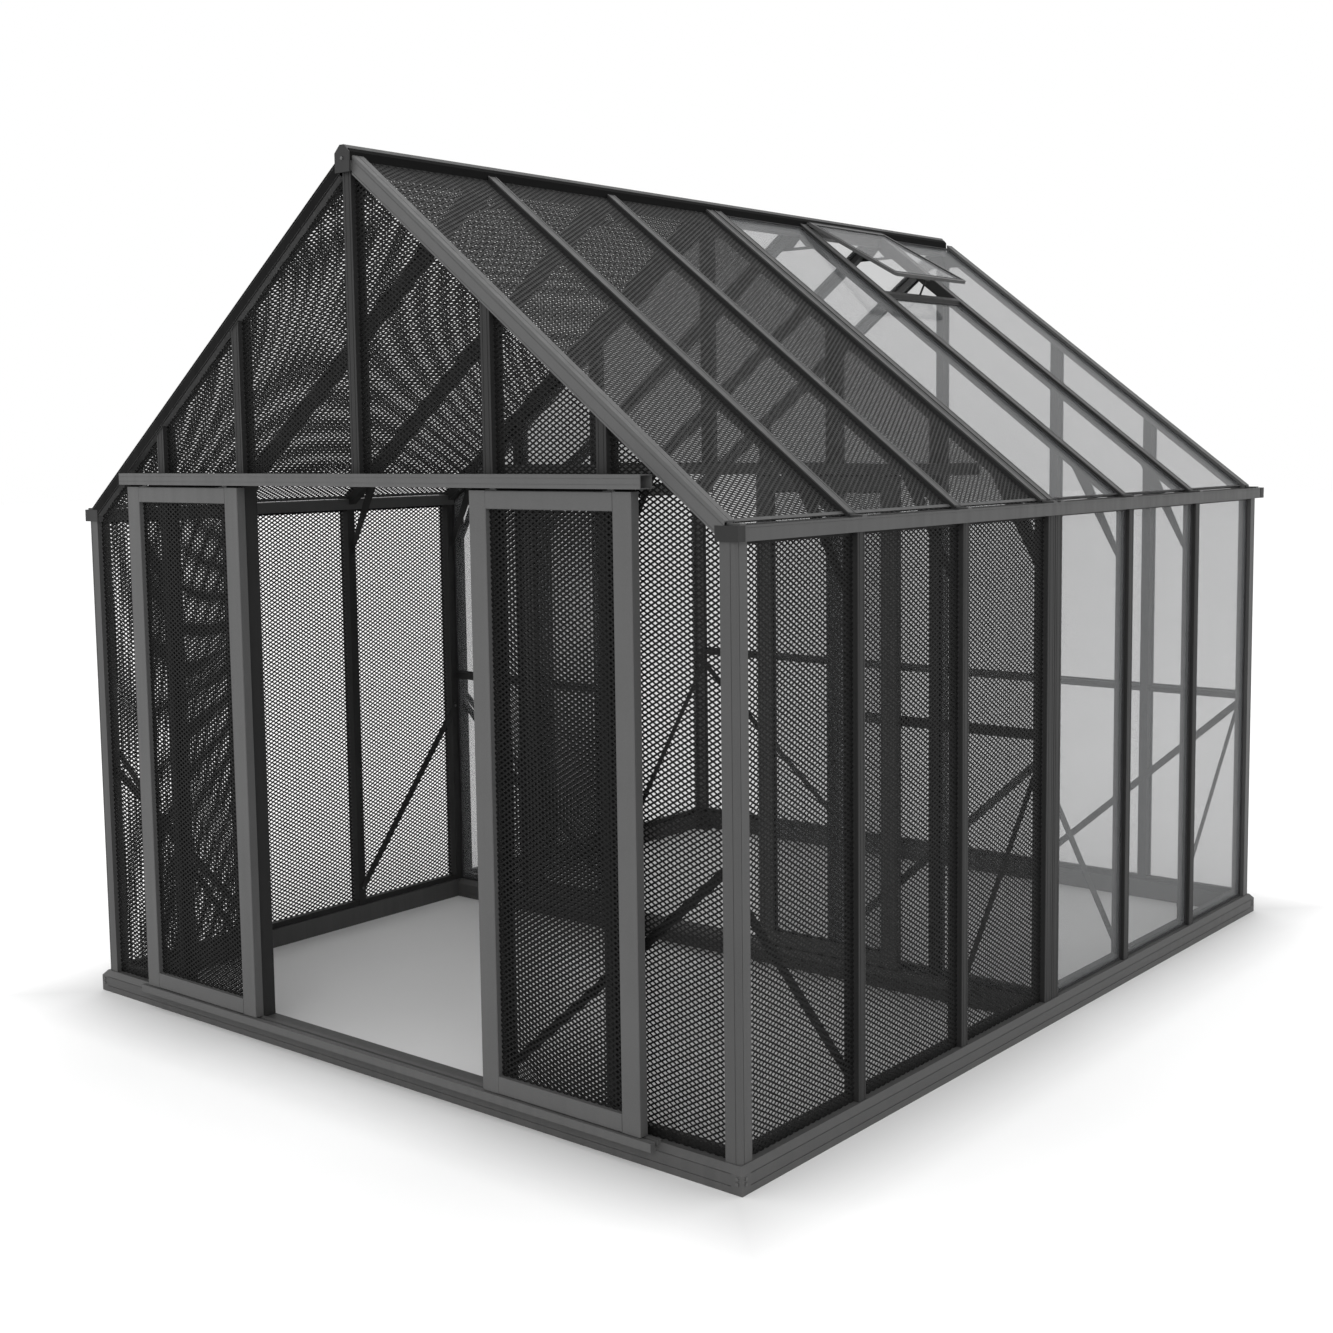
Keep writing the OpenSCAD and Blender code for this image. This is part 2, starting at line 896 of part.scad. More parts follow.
// Side wall braces: [line of the top end, its height, line of the foot]
side_braces = [
    [0, 882, 1],
    [mid_bay, 913, mid_bay - 1],
    [mid_bay, 913, mid_bay + 1],
    [bays, 913, bays - 1]
];

// Where a side brace's top bolt stands, near the inner edge of its post
function brace_top_y(b) =
    b[0] == 0 ? -half_l + post_w - brace_inset
    : b[0] == bays ? half_l - post_w + brace_inset
    : (b[2] > b[0] ? 1 : -1) * (mid_half - brace_inset);

module wall_braces() {
    color(stud_grey)
    both_sides() {
        difference() {
            in_yz(post_x0 - brace_t, post_x0)
                for (b = side_braces)
                    flat_bar([brace_top_y(b), b[1]], [line_y(b[2]), brace_foot_z], brace_w);
            wall_bolts(hole = true);
        }
        both_ends()
        difference() {
            in_xz(-half_l + post_w, -half_l + post_w + brace_t)
                flat_bar([gable_brace_x, gable_brace_z], [jamb_x, brace_foot_z], brace_w);
            gable_bolts(hole = true);
        }
        in_xz(post_w / 2, post_w / 2 + brace_t)
            flat_bar([post_x0 - brace_t - brace_inset, gable_brace_z], [jamb_x, brace_foot_z], brace_w);
    }
}

// ---- Bolts ---------------------------------------------------------------

// The shank's hole when hole is set, the whole bolt otherwise
module bolt_or_hole(shank, hole) {
    if (hole)
        translate([0, 0, -shank]) cylinder(r = shank_r, h = shank + eps);
    else
        bolt(shank);
}

// Bolts of the front right base corner, two on each outer face
module corner_bolts(hole = false) {
    inset = 18;
    shank = 12;
    for (z = [33, 49]) {
        translate([base_x1 - inset, base_y0, z]) rotate([90, 0, 0]) bolt_or_hole(shank, hole);
        translate([base_x1, base_y0 + inset, z]) rotate([0, 90, 0]) bolt_or_hole(shank, hole);
    }
}

// Bolts at both ends of the side braces, on the right wall
module wall_bolts(hole = false) {
    for (b = side_braces)
        for (p = [[brace_top_y(b), b[1]], [line_y(b[2]), brace_foot_z]])
            translate([post_x0 - brace_t, p[0], p[1]]) rotate([0, -90, 0]) bolt_or_hole(brace_t, hole);
}

// Bolts at both ends of the front right gable brace
module gable_bolts(hole = false) {
    for (p = [[gable_brace_x, gable_brace_z], [jamb_x, brace_foot_z]])
        translate([p[0], -half_l + post_w + brace_t, p[1]])
            rotate([-90, 0, 0]) bolt_or_hole(brace_t, hole);
}

// Bolts of the ridge gussets
module gusset_bolts(hole = false) {
    for (i = [1 : bays - 1])
        for (x = [-84, 84])
            translate([x, line_y(i) + line_half(i) + plate_t, peak_h - 118])
                rotate([-90, 0, 0]) bolt_or_hole(plate_t, hole);
}

// Bolt through the middle of the ridge's end cap
module ridge_bolt(hole = false) {
    below_peak = 34;
    translate([0, ridge_y0 - ridge_cap_t, peak_h - below_peak])
        rotate([90, 0, 0]) bolt_or_hole(ridge_cap_t, hole);
}

module frame_bolts() {
    color(steel) {
        both_sides() {
            both_ends() {
                corner_bolts();
                gable_bolts();
            }
            wall_bolts();
        }
        gusset_bolts();
        ridge_bolt();
    }
}

// ---- Wall and roof panels ------------------------------------------------

// Right wall panels of the bays from first to last
module wall_panels(first, last, t) {
    for (i = [first : last])
        block([panel_x - t, wall_lo(i), base_h], [panel_x, wall_hi(i), eave_h]);
}

// Right roof panels of the bays from first to last, starting at x0 in the vent's bay
module roof_panels(first, last, t, vent_x0 = ridge_half) {
    panel_x1 = gutter_x0 + 15;
    for (i = [first : last])
        in_xz(roof_lo(i), roof_hi(i))
        slope_outline(i == vent_bay ? vent_x0 : ridge_half, panel_x1, roof_set, t);
}

// Panels of a gable wall whose outer face is at y = 0, split at the cross rail
module gable_panels(doorway, t, drop, rail_z) {
    z_low = rail_z - cross_rail_h / 2;
    z_high = rail_z + cross_rail_h / 2;
    intersection() {
        union() {
            for (x = gable_spans(doorway)) {
                block([x[0], panel_set - t, base_h], [x[1], panel_set, rail_z > 0 ? z_low : peak_h]);
                if (rail_z > 0)
                    block([x[0], panel_set - t, z_high], [x[1], panel_set, peak_h]);
            }
            if (doorway)
                both_sides()
                block([stud_w / 2, panel_set - t, header_z1], [jamb_x - stud_w / 2, panel_set, peak_h]);
        }
        under_roof(drop, 0, post_w);
    }
}

module mesh_walls() {
    color(mesh_grey)
    both_sides()
    wall_panels(0, mid_bay - 1, mesh_t);
}

module mesh_roof() {
    color(mesh_grey)
    both_sides()
    roof_panels(0, mid_bay - 1, mesh_t);
}

module mesh_gable_front() {
    color(mesh_grey)
    difference() {
        translate([0, -half_l, 0]) gable_panels(true, mesh_t, gable_rafter_w, 0);
        roof_keepout();
    }
}

module glass_walls() {
    color(glass_tint)
    both_sides()
    wall_panels(mid_bay, bays - 1, glass_t);
}

module glass_roof() {
    color(glass_tint) {
        roof_panels(mid_bay, bays - 1, glass_t, vent_sill_x + vent_sill_w);
        mirror([1, 0, 0]) roof_panels(mid_bay, bays - 1, glass_t);
    }
}

module glass_gable_back() {
    color(glass_tint)
    difference() {
        mirror([0, 1, 0])
            translate([0, -half_l, 0])
            gable_panels(false, glass_t, gable_rafter_w, back_rail_h);
        roof_keepout();
    }
}

module glass_inner_wall() {
    color(glass_tint)
    difference() {
        translate([0, -post_w / 2, 0]) gable_panels(true, glass_t, cap_t + rafter_d, inner_rail_h);
        roof_keepout();
    }
}

// ---- Roof vent -----------------------------------------------------------

vent_y0 = roof_lo(vent_bay) + 2;
vent_y1 = roof_hi(vent_bay) - 2;
vent_y = (vent_y0 + vent_y1) / 2;
vent_tilt = roof_angle - vent_open;
vent_rail_x0 = 9;
bead_r = 5;
socket_t = 3;
pivot_r = 3;
stay_x = vent_len - 38;
stay_z = -11;
vent_glass_z = 2;

// Draws children in the vent's own axes: X down the sash, origin on the hinge
module vent_axes() {
    translate([vent_axis_x, 0, vent_axis_z])
    rotate([0, vent_tilt, 0])
    children();
}

// The sill bar across the bay, and the socket on the ridge that the vent's bead turns in
module vent_frame() {
    sill_d = 20;
    far = 20;
    color(stud_grey) {
        in_xz(roof_lo(vent_bay), roof_hi(vent_bay))
            slope_outline(vent_sill_x, vent_sill_x + vent_sill_w, 0, sill_d);
        in_xz(vent_y0, vent_y1)
        difference() {
            union() {
                translate([vent_axis_x, vent_axis_z]) circle(bead_r + socket_t);
                translate([ridge_half, vent_axis_z - 6])
                    square([vent_axis_x - ridge_half - bead_r, 12]);
            }
            translate([vent_axis_x, vent_axis_z]) {
                circle(bead_r + 0.08);
                polygon([
                    [0, 0], [far * cos(60), -far * sin(60)],
                    [far, -far], [far, far], [far * cos(30), far * sin(30)]
                ]);
            }
        }
    }
}

// Outline of the sash, its two lower corners rounded
module sash_outline() {
    r = vent_corner_r;
    long = vent_len - vent_rail_x0;
    wide = vent_y1 - vent_y0;
    translate([vent_rail_x0, vent_y0]) square([long - r, wide]);
    translate([vent_rail_x0, vent_y0 + r]) square([long, wide - 2 * r]);
    for (y = [vent_y0 + r, vent_y1 - r])
        translate([vent_len - r, y]) circle(r);
}

module vent_sash() {
    under = -6;
    top = under + vent_t;
    web_half = 1.5;
    ear_mid = 8;
    ear_half = 2;
    ear_back = 8;
    ear_low = 7;
    color(door_grey)
    vent_axes() {
        difference() {
            union() {
                translate([0, 0, under]) linear_extrude(top - under) sash_outline();
                block([0, vent_y0, -web_half], [vent_rail_x0, vent_y1, web_half]);
                translate([0, vent_y1, 0]) rotate([90, 0, 0]) cylinder(r = bead_r, h = vent_y1 - vent_y0);
            }
            block([vent_rail_x0 + vent_bar, vent_y0 + vent_bar, under - eps],
                [vent_len - vent_bar, vent_y1 - vent_bar, top + eps]);
        }
        for (s = [-1, 1])
            block([stay_x - ear_back, vent_y + s * ear_mid - ear_half, stay_z - ear_low],
                [vent_len - vent_bar, vent_y + s * ear_mid + ear_half, -ear_half]);
        translate([stay_x, vent_y + ear_mid + ear_half, stay_z])
            rotate([90, 0, 0])
            cylinder(r = pivot_r, h = 2 * (ear_mid + ear_half));
    }
}

module vent_glass() {
    color(glass_tint)
    vent_axes()
    block([vent_rail_x0 + vent_bar, vent_y0 + vent_bar, vent_glass_z],
        [vent_len - vent_bar, vent_y1 - vent_bar, vent_glass_z + glass_t]);
}

// The stay rod hangs from its pivot, straight down at first and then leaning inwards past the sill
module vent_stay() {
    eye_r = 6;
    eye_w = 10;
    rod_r = stay_rod_r;
    straight = 24;
    pivot_x = vent_axis_x + stay_x * cos(vent_tilt) + stay_z * sin(vent_tilt);
    pivot_z = vent_axis_z - stay_x * sin(vent_tilt) + stay_z * cos(vent_tilt);
    color(stud_grey)
    translate([pivot_x, vent_y, pivot_z])
    difference() {
        union() {
            translate([0, eye_w / 2, 0]) rotate([90, 0, 0]) cylinder(r = eye_r, h = eye_w);
            translate([0, 0, -straight]) cylinder(r = rod_r, h = straight);
            translate([0, 0, -straight]) sphere(r = rod_r);
            translate([0, 0, -straight])
                rotate([0, 180 + stay_lean, 0])
                cylinder(r = rod_r, h = stay_len - straight);
        }
        translate([0, eye_w, 0]) rotate([90, 0, 0]) cylinder(r = pivot_r + 0.06, h = 2 * eye_w);
    }
}

// ---- Sliding doors -------------------------------------------------------

front_left_x = -front_left_edge - leaf_w;
front_right_x = front_right_edge;
inner_left_x = -inner_left_edge - leaf_w;
inner_right_x = inner_right_edge;

// A tube w by d in plan, with softened front edges
module door_tube(w, d, h) {
    soft = 2;
    linear_extrude(h)
    difference() {
        polygon([[0, soft], [soft, 0], [w - soft, 0], [w, soft], [w, d], [0, d]]);
        translate([tube_t, tube_t]) square([w - 2 * tube_t, d - 2 * tube_t]);
    }
}

// Stiles and rails of a leaf whose left edge is at x
module door_frame(x, shift) {
    color(door_grey)
    translate([x, leaf_y0 + shift, 0]) {
        for (dx = [0, leaf_w - stile_w])
            translate([dx, 0, leaf_z0]) door_tube(stile_w, leaf_t, leaf_z1 - leaf_z0);
        for (z = [leaf_z0, leaf_z1 - door_rail_h])
            translate([stile_w, 0, z + door_rail_h])
            rotate([0, 90, 0])
            door_tube(door_rail_h, leaf_t, leaf_w - 2 * stile_w);
    }
}

// The mesh or glass that fills a leaf
module door_panel(x, shift, t) {
    block([x + stile_w, leaf_y + shift - t / 2, leaf_z0 + door_rail_h],
        [x + leaf_w - stile_w, leaf_y + shift + t / 2, leaf_z1 - door_rail_h]);
}

// Two hangers with their axles on top, and two guide shoes below
module door_fittings(x, shift) {
    foot = [50, 16, 2.5];
    hang_t = 3;
    hang_w = 24;
    hang_over = 8;
    axle_l = 28;
    cap_r = 6.5;
    cap_half = 0.6;
    shoe = [40, 8, 19];
    color(steel)
    for (hx = [x + hanger_in, x + leaf_w - hanger_in])
        translate([hx, leaf_y + shift, 0]) {
            translate([-foot[0] / 2, -foot[1] / 2, leaf_z1]) cube(foot);
            block([-hang_w / 2, -hang_t / 2, leaf_z1], [hang_w / 2, hang_t / 2, axle_z + hang_over]);
            translate([0, axle_l / 2, axle_z]) rotate([90, 0, 0]) cylinder(r = axle_r, h = axle_l);
            for (s = [-1, 1])
                translate([0, s * (axle_l / 2 - cap_half) + cap_half, axle_z])
                    rotate([90, 0, 0])
                    cylinder(r = cap_r, h = 2 * cap_half);
            translate([-shoe[0] / 2, -shoe[1] / 2, leaf_z0 - shoe[2]]) cube(shoe);
        }
}

// A pair of nylon rollers on one axle
module door_roller(hx, shift) {
    gap = 4;
    color(nylon)
    for (y = [-gap - roller_t, gap])
        translate([hx, leaf_y + shift + y + roller_t, axle_z])
            rotate([90, 0, 0])
            difference() {
                cylinder(r = roller_r, h = roller_t);
                translate([0, 0, -eps]) cylinder(r = axle_r + 0.06, h = roller_t + 2 * eps);
            }
}

module mesh_panel(x, shift) {
    color(mesh_grey) door_panel(x, shift, mesh_t);
}

module glass_panel(x, shift) {
    color(glass_tint) door_panel(x, shift, glass_t);
}

module front_left_door_frame() { door_frame(front_left_x, 0); }
module front_left_door_mesh() { mesh_panel(front_left_x, 0); }
module front_left_door_fittings() { door_fittings(front_left_x, 0); }
module front_left_roller_a() { door_roller(front_left_x + hanger_in, 0); }
module front_left_roller_b() { door_roller(front_left_x + leaf_w - hanger_in, 0); }

module front_right_door_frame() { door_frame(front_right_x, 0); }
module front_right_door_mesh() { mesh_panel(front_right_x, 0); }
module front_right_door_fittings() { door_fittings(front_right_x, 0); }
module front_right_roller_a() { door_roller(front_right_x + hanger_in, 0); }
module front_right_roller_b() { door_roller(front_right_x + leaf_w - hanger_in, 0); }

module inner_left_door_frame() { door_frame(inner_left_x, inner_shift); }
module inner_left_door_glass() { glass_panel(inner_left_x, inner_shift); }
module inner_left_door_fittings() { door_fittings(inner_left_x, inner_shift); }
module inner_left_roller_a() { door_roller(inner_left_x + hanger_in, inner_shift); }
module inner_left_roller_b() { door_roller(inner_left_x + leaf_w - hanger_in, inner_shift); }

module inner_right_door_frame() { door_frame(inner_right_x, inner_shift); }
module inner_right_door_glass() { glass_panel(inner_right_x, inner_shift); }
module inner_right_door_fittings() { door_fittings(inner_right_x, inner_shift); }
module inner_right_roller_a() { door_roller(inner_right_x + hanger_in, inner_shift); }
module inner_right_roller_b() { door_roller(inner_right_x + leaf_w - hanger_in, inner_shift); }

base_front();
base_back();
base_sides();
base_corners();
base_partition();
corner_posts();
mid_posts();
side_studs();
panel_sills();
gutter_left();
gutter_right();
end_caps();
ridge_beam();
gable_rafters();
mid_rafters();
rafter_caps();
rafter_clips();
gable_studs_front();
gable_studs_inner();
gable_studs_back();
cross_rails();
header_track_front();
header_track_inner();
bottom_tracks();
door_stops();
knee_braces();
ridge_gussets();
wall_braces();
frame_bolts();
mesh_walls();
mesh_roof();
mesh_gable_front();
glass_walls();
glass_roof();
glass_gable_back();
glass_inner_wall();
vent_frame();
vent_sash();
vent_glass();
vent_stay();
front_left_door_frame();
front_left_door_mesh();
front_left_door_fittings();
front_left_roller_a();
front_left_roller_b();
front_right_door_frame();
front_right_door_mesh();
front_right_door_fittings();
front_right_roller_a();
front_right_roller_b();
inner_left_door_frame();
inner_left_door_glass();
inner_left_door_fittings();
inner_left_roller_a();
inner_left_roller_b();
inner_right_door_frame();
inner_right_door_glass();
inner_right_door_fittings();
inner_right_roller_a();
inner_right_roller_b();
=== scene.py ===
import json
import math

import bmesh
import bpy
import numpy as np
from mathutils import Matrix, Vector


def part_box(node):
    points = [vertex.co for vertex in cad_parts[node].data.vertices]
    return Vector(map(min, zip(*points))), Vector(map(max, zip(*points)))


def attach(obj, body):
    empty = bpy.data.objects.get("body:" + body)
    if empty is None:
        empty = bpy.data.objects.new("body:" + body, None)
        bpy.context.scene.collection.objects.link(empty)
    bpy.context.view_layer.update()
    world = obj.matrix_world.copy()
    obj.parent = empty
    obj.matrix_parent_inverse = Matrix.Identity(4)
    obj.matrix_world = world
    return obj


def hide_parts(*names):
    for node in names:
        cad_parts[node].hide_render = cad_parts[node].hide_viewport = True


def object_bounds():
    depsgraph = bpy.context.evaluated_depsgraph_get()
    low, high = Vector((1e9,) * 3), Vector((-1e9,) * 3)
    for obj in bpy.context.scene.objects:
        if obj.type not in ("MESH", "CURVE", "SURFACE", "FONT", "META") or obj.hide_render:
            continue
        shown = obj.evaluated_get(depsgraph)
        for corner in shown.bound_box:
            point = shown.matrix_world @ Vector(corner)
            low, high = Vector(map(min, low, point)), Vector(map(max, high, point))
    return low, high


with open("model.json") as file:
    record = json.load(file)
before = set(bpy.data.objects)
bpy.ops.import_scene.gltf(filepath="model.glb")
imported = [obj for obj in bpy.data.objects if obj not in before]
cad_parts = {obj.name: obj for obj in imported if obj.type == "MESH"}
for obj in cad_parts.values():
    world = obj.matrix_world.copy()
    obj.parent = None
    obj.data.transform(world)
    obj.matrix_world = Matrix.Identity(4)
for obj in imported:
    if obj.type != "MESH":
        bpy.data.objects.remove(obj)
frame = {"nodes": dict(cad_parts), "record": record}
cad_lo, cad_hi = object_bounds()

# ---- Sizes in metres, angles in degrees, lens and sensor in millimetres -----

CAMERA_AT = (4.504, -5.735, 2.132)
CAMERA_YAW = 39.22
CAMERA_DOWN = 5.68
CAMERA_ROLL = -0.72
CAMERA_LENS = 47.56
CAMERA_SENSOR = 36
CAMERA_SHIFT = (-0.0089, -0.0365)

CELL_WIDE = 0.029
CELL_HIGH = 0.017
HOLE_SHARE = 0.61
ROOF_HOLE_SHARE = 0.60
STRAND_T = 0.0012
STRAND_LEAN = 0.0008
WALL_OVERLAP = 0.001
OTHER_OVERLAP = 0.002
TRIM_WIDE = 0.010
TRIM_T = 0.003

SEAL_WIDE = 0.007
SEAL_T = 0.003
RIDGE_STRIP_T = 0.0025
RIDGE_SHOULDER = 0.025
RIDGE_CROWN = 0.010
RIDGE_STRIP_CLIMB = 0.45

BRUSH_T = 0.010
BRUSH_TUFT = 0.004
BRUSH_BASE = 0.003
BRUSH_CLEAR = 0.0006
HANGER_CLEAR = 0.012

# Limits for reading the CAD panes: welding, rounding, straightness and slope.
WELD = 1e-5
DECIMALS = 6
STRAIGHT = 1e-9
SLOPING = 0.2
SHARPEST = 0.1

BAKE_UV = "OFBake"
BAKE_FILL = 0.98
BAKE_MARGIN = 0.01

MESH_NODES = {
    "mesh_walls": "frame",
    "mesh_roof": "frame",
    "mesh_gable_front": "frame",
    "front_left_door_mesh": "front_left_door",
    "front_right_door_mesh": "front_right_door",
}
GLASS_NODES = {
    "glass_walls": "frame",
    "glass_roof": "frame",
    "glass_gable_back": "frame",
    "glass_inner_wall": "frame",
    "vent_glass": "vent",
    "inner_left_door_glass": "inner_left_door",
    "inner_right_door_glass": "inner_right_door",
}

# ---- Values of the finishes -------------------------------------------------

NOISE_ROUGH = 0.6
NOISE_LOW = 0.3
NOISE_HIGH = 0.7
MIX_FACTOR = 0
MIX_A = 6
MIX_B = 7
MIX_RESULT = 2

SPECKLE_SCALE = 420.0
MOTTLE_SCALE = 5.0
STREAK_STRETCH = (30.0, 30.0, 1.2)
MOTTLE_DARK = 0.90
MOTTLE_LIGHT = 1.12
SPECKLE_LIGHT = 1.25
EVENED = 0.35
DUST_SHARE = 0.35
DUST_FULL_Z = 0.02
DUST_END_Z = 0.22
DUST_LIGHT = 1.5
DUST_PALE = 0.02
DUST_WARM = 0.03
# Painted shade on the front faces of the gable rafters left of the ridge: its colour, its gloss and
# the mask's limits.
PAINTED_SHADE_LEVEL = 0.004
PAINTED_SHADE_GLOSS = 0.04
PAINTED_SHADE_WITHIN = 0.0006
PAINTED_SHADE_FULL_X = -0.0302
PAINTED_SHADE_END_X = -0.0300

MARK_STRETCH = (9.0, 9.0, 1.5)
MARK_SHADE = 0.93
SPOT_SCALE = 60.0
GLASS_IOR = 1.5

BRUSHED_STRETCH = (900.0, 120.0, 900.0)
BRUSHED_DARK = 0.85
BRUSHED_LIGHT = 1.1

GRAIN_SCALE = 700.0
CLOUD_SCALE = 35.0
CLOUD_SHADE = 0.85

# ---- Floor and lights -------------------------------------------------------

FLOOR_REACH = 60.0
FLOOR_SCALE = 0.8
FLOOR_DARK = 0.75
FLOOR_LIGHT = 0.78
FLOOR_ROUGH = 0.7
# Painted light on the floor outside the house: the glow's full strength, and the distance past the
# footprint at which it is reached.
FLOOR_PAINTED_LIGHT = 0.32
PAINTED_LIGHT_SPREAD = 0.35
SKY_STRENGTH = 1.0
LIGHT_TARGET = (0, 0, 1.4)

# Each light's place, its two side lengths and its power in watts.
LIGHTS = {
    "key": ((6.5, -9.0, 7.0), (6, 5), 250),
    "fill": ((-9.0, -6.0, 4.0), (5, 5), 90),
    "top": ((0, 2.0, 10.0), (8, 8), 150),
}


# ---- Building a material ----------------------------------------------------

class Finish:
    """A new material, with methods that add its texture nodes."""

    def __init__(self, name):
        self.mat = bpy.data.materials.new(name)
        self.mat.use_nodes = True
        self.nodes = self.mat.node_tree.nodes
        self.links = self.mat.node_tree.links
        self.shader = next(n for n in self.nodes if n.type == "BSDF_PRINCIPLED")
        self.where = self.nodes.new("ShaderNodeTexCoord").outputs["Object"]

    def feed(self, value, socket):
        """Link another node's output to a socket, or set a plain value on it."""
        if isinstance(value, bpy.types.NodeSocket):
            self.links.new(value, socket)
        else:
            socket.default_value = value

    def put(self, name, value):
        self.feed(value, self.shader.inputs[name])

    def noise_at(self, where, scale, detail):
        n = self.nodes.new("ShaderNodeTexNoise")
        n.inputs["Scale"].default_value = scale
        n.inputs["Detail"].default_value = detail
        n.inputs["Roughness"].default_value = NOISE_ROUGH
        self.links.new(where, n.inputs["Vector"])
        return n.outputs["Fac"]

    def noise(self, scale, detail):
        """Noise in the object's own coordinates, in metres."""
        return self.noise_at(self.where, scale, detail)

    def streaks(self, stretch, detail):
        """Noise whose scale is different along each axis."""
        n = self.nodes.new("ShaderNodeMapping")
        n.inputs["Scale"].default_value = stretch
        self.links.new(self.where, n.inputs["Vector"])
        return self.noise_at(n.outputs["Vector"], 1.0, detail)

    def remap(self, value, lo, hi, from_lo=NOISE_LOW, from_hi=NOISE_HIGH):
        n = self.nodes.new("ShaderNodeMapRange")
        n.inputs["From Min"].default_value = from_lo
        n.inputs["From Max"].default_value = from_hi
        n.inputs["To Min"].default_value = lo
        n.inputs["To Max"].default_value = hi
        self.links.new(value, n.inputs["Value"])
        return n.outputs["Result"]

    def mix(self, factor, a, b):
        """Two colours mixed: 0 gives a, and 1 gives b."""
        n = self.nodes.new("ShaderNodeMix")
        n.data_type = "RGBA"
        self.feed(factor, n.inputs[MIX_FACTOR])
        self.feed(a, n.inputs[MIX_A])
        self.feed(b, n.inputs[MIX_B])
        return n.outputs[MIX_RESULT]

    def maths(self, operation, *values):
        n = self.nodes.new("ShaderNodeMath")
        n.operation = operation
        for socket, value in zip(n.inputs, values):
            self.feed(value, socket)
        return n.outputs[0]

    def axes(self):
        """The object's own X, Y and Z, as three outputs."""
        n = self.nodes.new("ShaderNodeSeparateXYZ")
        self.links.new(self.where, n.inputs["Vector"])
        return n.outputs

    def bump(self, height, strength, distance):
        n = self.nodes.new("ShaderNodeBump")
        n.inputs["Strength"].default_value = strength
        n.inputs["Distance"].default_value = distance
        self.links.new(height, n.inputs["Height"])
        self.links.new(n.outputs["Normal"], self.shader.inputs["Normal"])


def grey(level, warm=0.0):
    return (level * (1 + warm), level, level * (1 - warm), 1)


def shade(colour, share):
    """An opaque colour made darker."""
    return [c * share for c in colour[:3]] + [1]


# ---- Materials --------------------------------------------------------------

def painted_shade_mask(coat):
    """The mask of painted shade: 1 on the foremost faces of the gable rafters left of the ridge, 0
    elsewhere.
    """
    axes = coat.axes()
    front_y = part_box("gable_rafters")[0][1]
    front = coat.maths("COMPARE", axes["Y"], front_y, PAINTED_SHADE_WITHIN)
    left = coat.remap(axes["X"], 1, 0, PAINTED_SHADE_FULL_X, PAINTED_SHADE_END_X)
    return coat.maths("MULTIPLY", front, left)


def powder_coat(name, level, rough, gloss, with_painted_shade=False):
    """Matt powder-coated aluminium: speckle, mottling, dust low down and orange peel, and on
    request painted shade on the gable rafters' front left faces.
    """
    coat = Finish(name)
    speckle = coat.noise(SPECKLE_SCALE, detail=2.0)
    mottle = coat.noise(MOTTLE_SCALE, detail=5.0)
    streaks = coat.streaks(STREAK_STRETCH, detail=3.0)
    tone = coat.mix(coat.remap(mottle, 0, 1), grey(level * MOTTLE_DARK), grey(level * MOTTLE_LIGHT))
    tone = coat.mix(coat.remap(speckle, 0, 1), tone, grey(level * SPECKLE_LIGHT))
    tone = coat.mix(EVENED, tone, grey(level))
    low = coat.remap(coat.axes()["Z"], DUST_SHARE, 0.0, DUST_FULL_Z, DUST_END_Z)
    patch = coat.maths("MULTIPLY", low, coat.remap(streaks, 0, 1))
    tone = coat.mix(patch, tone, grey(level * DUST_LIGHT + DUST_PALE, DUST_WARM))
    coat.put("Specular IOR Level", gloss)
    if with_painted_shade:
        # Painted shade: the front faces of the gable rafters left of the ridge are made nearly
        # black and less glossy.
        dark = painted_shade_mask(coat)
        tone = coat.mix(dark, tone, grey(PAINTED_SHADE_LEVEL))
        coat.put("Specular IOR Level", coat.remap(dark, gloss, PAINTED_SHADE_GLOSS, 0, 1))
    coat.put("Base Color", tone)
    coat.put("Roughness", coat.remap(streaks, rough - 0.06, rough + 0.08))
    coat.bump(speckle, strength=0.12, distance=0.0004)
    return coat.mat


def pane_glass(name, tint, alpha):
    """Glazing as a thin see-through coat, with water marks and slight waviness."""
    glass = Finish(name)
    marks = glass.streaks(MARK_STRETCH, detail=6.0)
    spots = glass.noise(SPOT_SCALE, detail=3.0)
    glass.put("Base Color", glass.mix(glass.remap(marks, 0, 1), tint, shade(tint, MARK_SHADE)))
    glass.put("Roughness", glass.remap(spots, 0.03, 0.09))
    glass.bump(marks, strength=0.02, distance=0.001)
    glass.put("Alpha", alpha)
    glass.put("IOR", GLASS_IOR)
    return glass.mat


def plain_metal(name, level, rough, metallic):
    """Plated steel with a brushed grain."""
    plate = Finish(name)
    grain = plate.streaks(BRUSHED_STRETCH, detail=3.0)
    dark, light = grey(level * BRUSHED_DARK), grey(level * BRUSHED_LIGHT)
    plate.put("Base Color", plate.mix(plate.remap(grain, 0, 1), dark, light))
    plate.put("Roughness", plate.remap(grain, rough - 0.07, rough + 0.1))
    plate.bump(grain, strength=0.15, distance=0.0002)
    plate.put("Metallic", metallic)
    return plate.mat


def moulded(name, colour, rough, gloss=0.5):
    """Moulded nylon or rubber with a fine even grain."""
    plastic = Finish(name)
    grain = plastic.noise(GRAIN_SCALE, detail=3.0)
    cloud = plastic.noise(CLOUD_SCALE, detail=4.0)
    dark = shade(colour, CLOUD_SHADE)
    plastic.put("Base Color", plastic.mix(plastic.remap(cloud, 0, 1), dark, colour))
    plastic.put("Roughness", plastic.remap(grain, rough - 0.06, rough + 0.06))
    plastic.bump(grain, strength=0.2, distance=0.0003)
    plastic.put("Specular IOR Level", gloss)
    return plastic.mat


